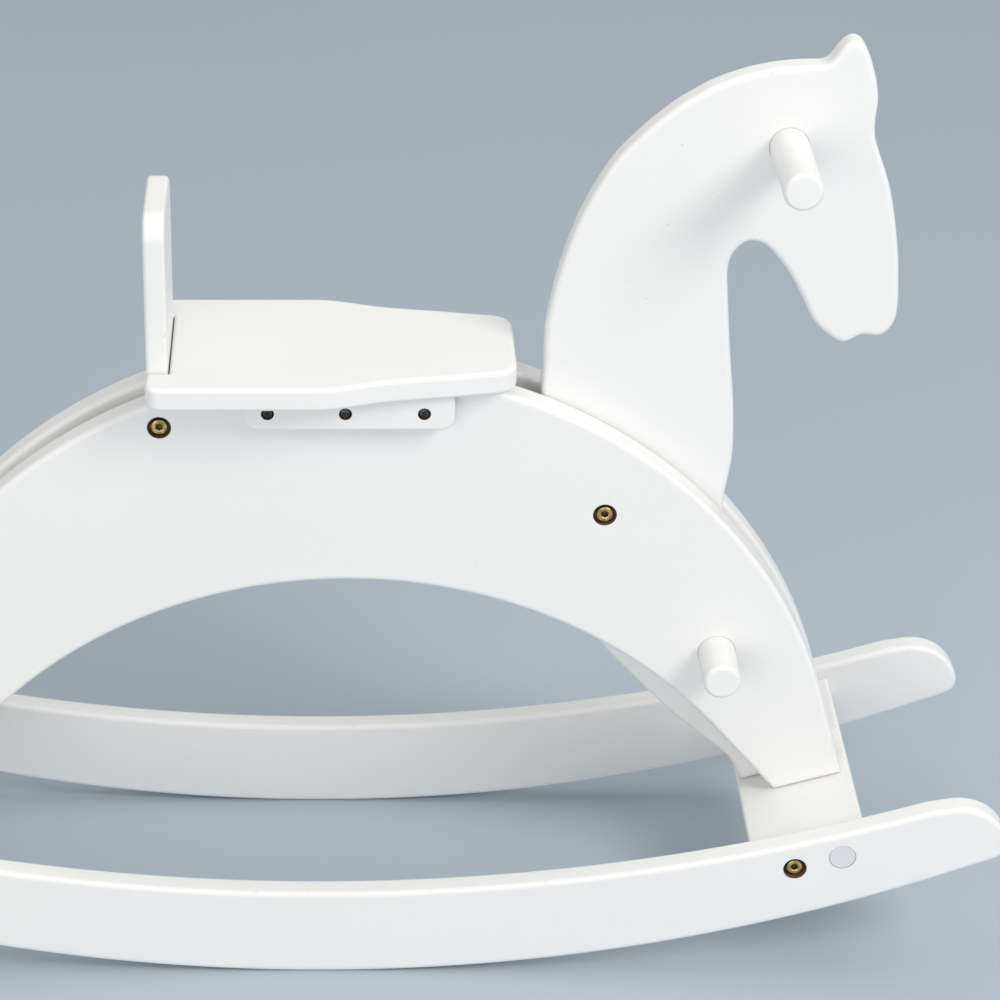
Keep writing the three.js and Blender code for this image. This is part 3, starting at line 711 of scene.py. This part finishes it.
GRAIN_X = (0.12, 1.0, 1.0)
GRAIN_Z = (1.0, 1.0, 0.12)
GRAIN_Y = (1.0, 0.12, 1.0)
M_ROCK = paint("paint_rocker", GRAIN_X, 1.0)
M_PANEL = paint("paint_panel", GRAIN_X, 5.0)
M_HEAD = paint("paint_head", GRAIN_Z, 9.0)
M_SEAT = paint("paint_seat", GRAIN_X, 14.0)
M_BACK = paint("paint_backrest", GRAIN_Y, 21.0)
M_CROSS = paint("paint_crossboard", GRAIN_Y, 27.0)
M_PEG = paint("paint_dowel", GRAIN_Y, 33.0)
M_RAW = raw_board("bare_board")
M_BRASS = metal("brass", (0.70, 0.53, 0.24), (0.36, 0.25, 0.09), 0.34, 2.0)
M_ZINC = metal("zinc", (0.58, 0.58, 0.56), (0.40, 0.40, 0.39), 0.36, 5.0)
# dark brass for the inside of the hexagon sockets: painted shade of the recess, not a different metal
M_SOCKET_PAINTED_SHADE = metal("brass_socket_painted_shade", (0.16, 0.11, 0.045), (0.07, 0.045, 0.02), 0.5, 3.0, 400.0)
M_DARK = metal("dark_steel", (0.105, 0.105, 0.110), (0.045, 0.045, 0.048), 0.42, 8.0, 300.0, 0.75)
M_CAP = plastic("cap_grey")


# ------------------------------------------------------------------ pieces
def piece(o, node):
    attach(o, "root")
    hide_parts(node)
    return o


def on_board(b, s, h=0.0):
    d, a = math.copysign(1, b["x"]), rad(b["a"])
    return b["x"] + d * s * math.cos(a) - h * math.sin(a), b["z"] + d * s * math.sin(a) + h * math.cos(a)


BOARDS = (("front", BOARD_F), ("rear", BOARD_R))
SIDES = (("right", -1), ("left", 1))

# rockers
tip = catmull(TIP[::-1], closed=False)
low = arc(0, ROCK_R_LOW, ROCK_R_LOW, -LOW_X, LOW_X, 2.5, -1)
top = arc(0, ROCK_DEPTH + ROCK_R_TOP, ROCK_R_TOP, TOP_X, -TOP_X, 2.5, -1)
rear_tip = tip[::-1] * np.array([-1, 1])
rocker_line = resample(np.vstack([low, tip, top, rear_tip]), 1.6)
rocker_line = soften(rocker_line, 1.6, 2.6)
for side, sgn in SIDES:
    c_out, c_in = sgn * HALF_W, sgn * (HALF_W - T)
    c0, c1 = min(c_out, c_in), max(c_out, c_in)
    holes = []
    for _, b in BOARDS:
        for i, s in enumerate(BOLT_S):
            x, z = on_board(b, s)
            r, f = CBORE_D / 2, (BOLT_D + 0.6) / 2
            if i == 1:
                k = CAP_D / 2 + 0.12
                prof = [(k + 0.2, 0), (k, 0.2), (k, CAP_H + 0.4), (r, CAP_H + 0.4), (r, CBORE_H), (f, CBORE_H), (f, T - 0.2), (f + 0.2, T)]
            else:
                prof = [(r + 0.45, 0), (r + 0.15, 0.15), (r, 0.5), (r, CBORE_H), (f, CBORE_H), (f, T - 0.2), (f + 0.2, T)]
            prof = [(q, c_out - sgn * d) for q, d in prof]
            if sgn < 0:
                prof = prof[::-1]
            holes.append((x, z, prof))
    o = board("rocker_board_" + side, rocker_line, c0, c1, R_ROCK, xz, [M_ROCK, M_RAW], holes)
    piece(o, "rocker_" + side)

# cross boards
for place_name, b in BOARDS:
    hw, hl = BOARD_W / 2, HALF_W - T - GAP
    a, d = rad(b["a"]), math.copysign(1, b["x"])
    line = fill_in(np.array([[-hw, -hl], [hw, -hl], [hw, hl], [-hw, hl]], float), 6.0)
    holes = []
    for sgn in (-1, 1):
        for s in BOLT_S:
            holes.append((d * s, sgn * NUT_Y, [(0, 5.8), (5.4, 5.8), (5.4, -T / 2 + 0.3), (5.7, -T / 2)]))
        for s in SCREW_FOOT_S[place_name]:
            holes.append((d * s, sgn * (PANEL_IN + PANEL_T / 2), [(2.6, T / 2), (2.4, T / 2 - 0.2), (2.4, -T / 2 + 3.0), (5.2, -T / 2)]))

    def tilt(u, v, c, b=b, a=a):
        return (b["x"] + u * math.cos(a) - c * math.sin(a), v, b["z"] + u * math.sin(a) + c * math.cos(a))

    o = board("cross_board_" + place_name, line, -T / 2, T / 2, R_CROSS, tilt, [M_CROSS, M_RAW], holes, hole_seg=40)
    piece(o, "crossboard_" + place_name)


# body panels
def board_top(b, x):
    a = rad(b["a"])
    return b["z"] + (T / 2) / math.cos(a) + (x - b["x"]) * math.tan(a) + GAP


def leg_end(p, d, b):
    m, c = math.tan(rad(b["a"])), board_top(b, 0)
    t = (m * p[0] + c - p[1]) / (d[1] - m * d[0])
    return [p[0] + t * d[0], p[1] + t * d[1]]


th = rad(ARCH_OUT_LEG)
drop = math.sqrt(ARCH_IN_R ** 2 - ARCH_IN_LEG ** 2)
half_flat = math.sqrt(ARCH_OUT_R ** 2 - (FLAT_Z - ARCH_OUT_Z) ** 2)
leg = {k: (ARCH_X + k * ARCH_OUT_R * math.cos(th), ARCH_OUT_Z + ARCH_OUT_R * math.sin(th)) for k in (1, -1)}
knee = {k: (ARCH_IN_X + k * ARCH_IN_LEG, ARCH_IN_Z + drop) for k in (1, -1)}
panel_line = np.vstack([
    [leg_end(leg[1], (math.sin(th), -math.cos(th)), BOARD_F)],
    sweep(ARCH_X, ARCH_OUT_Z, ARCH_OUT_R, leg[1], (ARCH_X + half_flat, FLAT_Z), 2.2),
    sweep(ARCH_X, ARCH_OUT_Z, ARCH_OUT_R, (ARCH_X - half_flat, FLAT_Z), leg[-1], 2.2),
    [leg_end(leg[-1], (-math.sin(th), -math.cos(th)), BOARD_R)],
    [leg_end(knee[-1], (-drop, -ARCH_IN_LEG), BOARD_R)],
    sweep(ARCH_IN_X, ARCH_IN_Z, ARCH_IN_R, knee[-1], knee[1], 2.2),
    [leg_end(knee[1], (drop, -ARCH_IN_LEG), BOARD_F)],
])
panel_line = fill_in(panel_line, 4.0)
for side, sgn in SIDES:
    c_out, c_in = sgn * PANEL_OUT, sgn * PANEL_IN
    holes = []
    for x, z in (BODY_BOLT, BACK_BOLT):
        r = CBORE_D / 2
        prof = [(r + 0.45, 0), (r + 0.15, 0.15), (r, 0.5), (r, 5), (4.4, 5), (4.4, PANEL_T - 0.2), (4.6, PANEL_T)]
        holes.append((x, z, prof))
    k = PEG_D / 2 + 0.15
    holes.append((FOOTREST["x"], FOOTREST["z"], [(k + 0.2, 0), (k, 0.2), (k, PANEL_T - 0.2), (k + 0.2, PANEL_T)]))
    fixed = []
    for x, z, prof in holes:
        prof = [(q, c_out - sgn * d) for q, d in prof]
        fixed.append((x, z, prof[::-1] if sgn < 0 else prof))
    o = board("arch_panel_" + side, panel_line, min(c_out, c_in), max(c_out, c_in), R_PANEL, xz, [M_PANEL, M_RAW], fixed)
    piece(o, "body_panel_" + side)

# head board
foot = HEAD.index([259.6, 76.9])
head_line = soften_open(catmull(HEAD[foot:] + HEAD[:foot], closed=False), 1.4, 2.4)
head_line = fill_in(head_line, 3.0)
k = PEG_D / 2 + 0.15
h = HEAD_T / 2
o = board("horse_head", head_line, -h, h, R_HEAD, xz, [M_HEAD, M_RAW], [
    (HANDLE["x"], HANDLE["z"], [(k + 0.2, h), (k, h - 0.2), (k, -h + 0.2), (k + 0.2, -h)]),
    (FOOTREST["x"], FOOTREST["z"], [(k + 0.2, h), (k, h - 0.2), (k, -h + 0.2), (k + 0.2, -h)]),
    (BODY_BOLT[0], BODY_BOLT[1], [(4.6, h), (4.4, h - 0.2), (4.4, -h + 0.2), (4.6, -h)]),
])
piece(o, "head_board")

# seat
side_line = catmull(SEAT_SIDE, closed=False, per=6)
fx, fh, ff = SEAT_FRONT_HALF
notch = BACK_T + BACK_SLOT * 0.55
rear_right = rounded([[SEAT_REAR + notch, -(BACK_HALF + 0.5), 0], [SEAT_REAR, -(BACK_HALF + 0.5), 3.8], [SEAT_REAR, -SEAT_HALF, 8], [-20, -SEAT_HALF, 0]])[:-1]
front = rounded([[fx, -fh, 0], [SEAT_FRONT, -ff, 14], [SEAT_FRONT, ff, 14], [fx, fh, 0]])[1:-1]
flip = np.array([1, -1])
seat_line = np.vstack([rear_right, side_line * flip, front, side_line[::-1], rear_right[::-1] * flip])
seat_line = fill_in(seat_line, 4.0)
o = board("seat_top_board", seat_line, SEAT_LOW, SEAT_TOP, R_SEAT, xy, [M_SEAT, M_RAW], support=0.9)
piece(o, "seat_board")

# backrest
ht = HEAD_T / 2
back_line = rounded([
    [-BACK_HALF, SEAT_LOW, 3.6], [-ht, SEAT_LOW, 0], [-ht, BACK_FOOT, 3.6], [ht, BACK_FOOT, 3.6], [ht, SEAT_LOW, 0],
    [BACK_HALF, SEAT_LOW, 3.6], [BACK_HALF, BACK_TOP, 15], [-BACK_HALF, BACK_TOP, 15],
])
back_line = fill_in(back_line, 4.0)
o = board("backrest_panel", back_line, SEAT_REAR, SEAT_REAR + BACK_T, R_BACK, yz, [M_BACK, M_RAW], support=0.8)
piece(o, "backrest_board")

# seat cleats, with the pockets for the screws that hold the seat down
for side, sgn in SIDES:
    c_in, c_out = sgn * (PANEL_OUT + GAP), sgn * (PANEL_OUT + GAP + CLEAT["t"])
    line = fill_in(rounded([[CLEAT["x0"], CLEAT["z0"], CLEAT["r"]], [CLEAT["x1"], CLEAT["z0"], CLEAT["r"]], [CLEAT["x1"], FLAT_Z, 2.8], [CLEAT["x0"], FLAT_Z, 2.8]]), 3.0)
    holes = []
    for x in CLEAT_SCREW_X:
        prof = [(4.0, 0), (3.75, 0.12), (3.7, 0.4), (3.7, 3.4), (2.3, 3.4), (2.3, CLEAT["t"] - 0.2), (2.5, CLEAT["t"])]
        prof = [(q, c_out - sgn * d) for q, d in prof]
        holes.append((x, CLEAT_SCREW_Z, prof[::-1] if sgn < 0 else prof))
    o = board("cleat_" + side, line, min(c_in, c_out), max(c_in, c_out), R_CLEAT, xz, [M_PANEL, M_RAW], holes, support=0.8, grid=6.0, hole_seg=40)
    o.modifiers.clear()
    tools = []
    for x in SEAT_SCREW_X:
        yc = (c_in + c_out) / 2
        tools.append(lathe("tool", [(0, -6), (3.9, -6), (3.9, 3), (2.3, 3), (2.3, 40), (0, 40)], [], lambda a, b, c, x=x, yc=yc: (x + a, yc + b, CLEAT["z0"] + c), 32))
    cut_with(o, tools)
    o.data.polygons.foreach_set("use_smooth", np.ones(len(o.data.polygons), bool))
    finish_normals(o)
    piece(o, "seat_cleat_" + side)


# dowels
def dowel(name, node, spec):
    r, e, hl = PEG_D / 2, 2.6, spec["half"]
    prof, wear = [(0, -hl), (r * 0.35, -hl), (r * 0.65, -hl + 0.02)], [0, 0, 0]
    for i in range(9):
        t = i / 8 * math.pi / 2
        prof.append((r - e + e * math.sin(t), -hl + e - e * math.cos(t)))
        wear.append(math.sin(2 * t))
    for y in np.linspace(-hl + e + 6, hl - e - 6, 15):
        prof.append((r, y))
        wear.append(0)
    for i in range(9):
        t = i / 8 * math.pi / 2
        prof.append((r - e + e * math.cos(t), hl - e + e * math.sin(t)))
        wear.append(math.sin(2 * t))
    prof += [(r * 0.65, hl - 0.02), (r * 0.35, hl), (0, hl)]
    wear += [0, 0, 0]
    o = lathe(name, prof, [M_PEG], lambda a, b, c: (spec["x"] + a, c, spec["z"] + b), 96, wear)
    finish_normals(o, 50)
    piece(o, node)


dowel("handle_bar", "handle_dowel", HANDLE)
dowel("foot_bar", "footrest_dowel", FOOTREST)


# bolts: turned head with a rounded rim, hexagon socket whose inside is painted dark as shade, threaded shank end
def bolt(name, node, x, z, y_seat, sgn, length, bore=None, shank=BOLT_D / 2):
    """Head outwards along sgn; bore makes it a sleeve nut."""
    R, H = HEAD_D / 2, HEAD_H
    if bore is None:
        prof = [(0, -length), (shank - 0.7, -length), (shank, -length + 0.7)]
        y = -length + 1.0
        while y < -length + 17:
            prof += [(shank, y), (shank - 0.32, y + 0.5)]
            y += 1.0
        prof += [(shank, y)]
    else:
        prof = [(0, -3.2), (bore - 0.4, -4.0), (bore, -4.4), (bore, -length + 0.4), (bore + 0.3, -length), (shank - 0.2, -length), (shank, -length + 0.2)]
    prof += [(shank, -0.2), (shank + 0.1, 0), (R - 0.15, 0), (R, 0.15), (R, H - 0.9)]
    for i in range(1, 6):
        t = i / 5 * math.pi / 2
        prof.append((R - 0.9 + 0.9 * math.cos(t), H - 0.9 + 0.9 * math.sin(t)))
    prof += [(3.1, H), (2.7, H), (2.45, H - 0.12), (-2.0, H - 0.42), (-2.0, H - 2.0), (-1.96, H - 2.4), (1.5, H - 2.45), (0, H - 2.9)]

    def put(a, b, c):
        return (x + a, y_seat + sgn * c, z + b)

    o = lathe(name, prof, [M_BRASS, M_SOCKET_PAINTED_SHADE], put, 48)
    for f in o.data.polygons:      # inside of the hexagon socket: painted shade, a dark brass standing in for the shade of the recess
        c = f.center * 1000
        deep = H - sgn * (c.y - y_seat)
        f.material_index = 1 if math.hypot(c.x - x, c.z - z) < 2.35 and 0.3 < deep < 3.4 else 0
    finish_normals(o, 32)
    piece(o, node)


for place_name, b in BOARDS:
    for side, sgn in SIDES:
        for i, s in enumerate(BOLT_S):
            x, z = on_board(b, s)
            which = "inner" if i == 0 else "outer"
            tag = "%s_%s_%s" % (place_name, side, which)
            bolt("hex_bolt_" + tag, "bolt_" + tag, x, z, sgn * (HALF_W - CBORE_H + 0.3), sgn, 45)
            if i == 1:
                R, H = CAP_D / 2, CAP_H
                prof = [(0, 0), (R - 0.25, 0), (R, 0.25), (R, H - 0.55)]
                for q in range(1, 6):
                    t = q / 5 * math.pi / 2
                    prof.append((R - 0.55 + 0.55 * math.cos(t), H - 0.55 + 0.55 * math.sin(t)))
                prof += [(R * 0.82, H - 0.04), (R * 0.78, H - 0.12), (R * 0.5, H - 0.1), (0, H - 0.08)]
                y0 = sgn * (HALF_W - CAP_H - 0.1)
                o = lathe("screw_cap_%s_%s" % (place_name, side), prof, [M_CAP], lambda a, b2, c, x=x, z=z, y0=y0, sgn=sgn: (x + a, y0 + sgn * c, z + b2), 64)
                finish_normals(o, 40)
                piece(o, "cover_cap_%s_%s" % (place_name, side))
for nm, (x, z) in (("neck", BODY_BOLT), ("backrest", BACK_BOLT)):
    bolt("hex_bolt_" + nm, "bolt_" + nm, x, z, -(PANEL_OUT - 5 + 0.3), -1, 33)
    bolt("sleeve_" + nm, "sleeve_nut_" + nm, x, z, PANEL_OUT - 5 + 0.3, 1, 30, bore=3.3, shank=4.1)

# cleat screws: pan head with a cross recess
for side, sgn in SIDES:
    c = sgn * (PANEL_OUT + GAP + CLEAT["t"])
    for i, x in enumerate(CLEAT_SCREW_X):
        prof = [(0, -21), (0.5, -20.6), (1.6, -17.5)]
        y = -17.0
        while y < -1.5:
            prof += [(1.7, y), (1.35, y + 0.6)]
            y += 1.2
        prof += [(1.7, -0.4), (1.7, 0), (3.15, 0), (3.3, 0.2), (3.3, 0.9)]
        for q in range(1, 7):
            t = q / 6 * math.pi / 2
            prof.append((1.6 + 1.7 * math.cos(t), 0.9 + 1.3 * math.sin(t)))
        prof.append((0, 2.2))

        def put(a, b, h, x=x, c=c, sgn=sgn):
            return (x + a, c - sgn * 3.1 + sgn * h, CLEAT_SCREW_Z + b)

        o = lathe("cross_screw_%s_%d" % (side, i + 1), prof, [M_DARK], put, 32)
        ca, sa = math.cos(0.5 + i), math.sin(0.5 + i)
        tools = []
        for w, l in ((0.45, 1.75), (1.75, 0.45)):
            quad = [(-w, -l), (w, -l), (w, l), (-w, l)]
            tools.append(prism("tool", [(u * ca - v * sa, u * sa + v * ca) for u, v in quad], 1.15, 3.4, put))
        cut_with(o, tools)
        o.data.polygons.foreach_set("use_smooth", np.ones(len(o.data.polygons), bool))
        finish_normals(o, 32)
        piece(o, "cleat_screw_%s_%d" % (side, i + 1))

# carried-over CAD nodes: screws and barrel nuts inside the boards
for n, o in NODES.items():
    if n.startswith(("nut_", "foot_screw_", "seat_screw_")):
        o.data.materials.clear()
        o.data.materials.append(M_ZINC)
        for s in o.material_slots:
            s.material = M_ZINC

# ------------------------------------------------------------------ floor, light, camera
fm, nt, b, vec = nodes_of("floor_pale")
n1 = noise(nt, vec, 1.3, 2.0, 0.5, None, 3.0)
nt.links.new(mix_colour(nt, remap(nt, n1, 0.3, 0.7, 0, 1), (0.452, 0.512, 0.580), (0.438, 0.498, 0.566)), b.inputs["Base Color"])
nt.links.new(remap(nt, noise(nt, vec, 14.0, 3.0, 0.5, None, 5.0), 0.3, 0.7, 0.62, 0.7), b.inputs["Roughness"])
b.inputs["Specular IOR Level"].default_value = 0.25
me = bpy.data.meshes.new("floor")
S = 9.0
me.from_pydata([(-S, -S, 0), (S, -S, 0), (S, S, 0), (-S, S, 0)], [], [(0, 1, 2, 3)])
me.materials.append(fm)
floor = bpy.data.objects.new("floor", me)
bpy.context.scene.collection.objects.link(floor)

world = bpy.data.worlds.new("studio")
world.use_nodes = True
world.node_tree.nodes["Background"].inputs["Color"].default_value = (1.0, 0.995, 0.985, 1)
world.node_tree.nodes["Background"].inputs["Strength"].default_value = 0.55
bpy.context.scene.world = world


def area_light(name, loc, target, size, power, colour=(1, 1, 1)):
    d = bpy.data.lights.new(name, "AREA")
    d.shape = "RECTANGLE"
    d.size, d.size_y = size
    d.energy = power
    d.color = colour
    o = bpy.data.objects.new(name, d)
    o.location = loc
    o.rotation_mode = "QUATERNION"
    o.rotation_quaternion = (Vector(target) - Vector(loc)).to_track_quat("-Z", "Y")
    bpy.context.scene.collection.objects.link(o)
    return o


area_light("key_right", (1.8, -1.6, 2.2), (0.0, 0.0, 0.2), (1.1, 1.1), 40, (1.0, 0.990, 0.972))
area_light("fill_front", (-1.2, -3.2, 1.0), (0.0, 0.0, 0.25), (3.0, 2.0), 36, (1.0, 0.974, 0.935))
area_light("top_soft", (0.1, 0.1, 2.6), (0.0, 0.0, 0.2), (2.2, 2.0), 14, (1.0, 0.992, 0.975))

cam_data = bpy.data.cameras.new("camera")
cam_data.sensor_width = 36.0
cam_data.lens = CAM_LENS
cam_data.shift_x, cam_data.shift_y = CAM_SHIFT
cam = bpy.data.objects.new("camera", cam_data)
cam.location = CAM_LOC
cam.rotation_euler = (rad(90 - CAM_PITCH), 0, 0)
bpy.context.scene.collection.objects.link(cam)
bpy.context.scene.camera = cam
bpy.context.scene.view_settings.view_transform = "Standard"
bpy.context.scene.view_settings.look = "None"
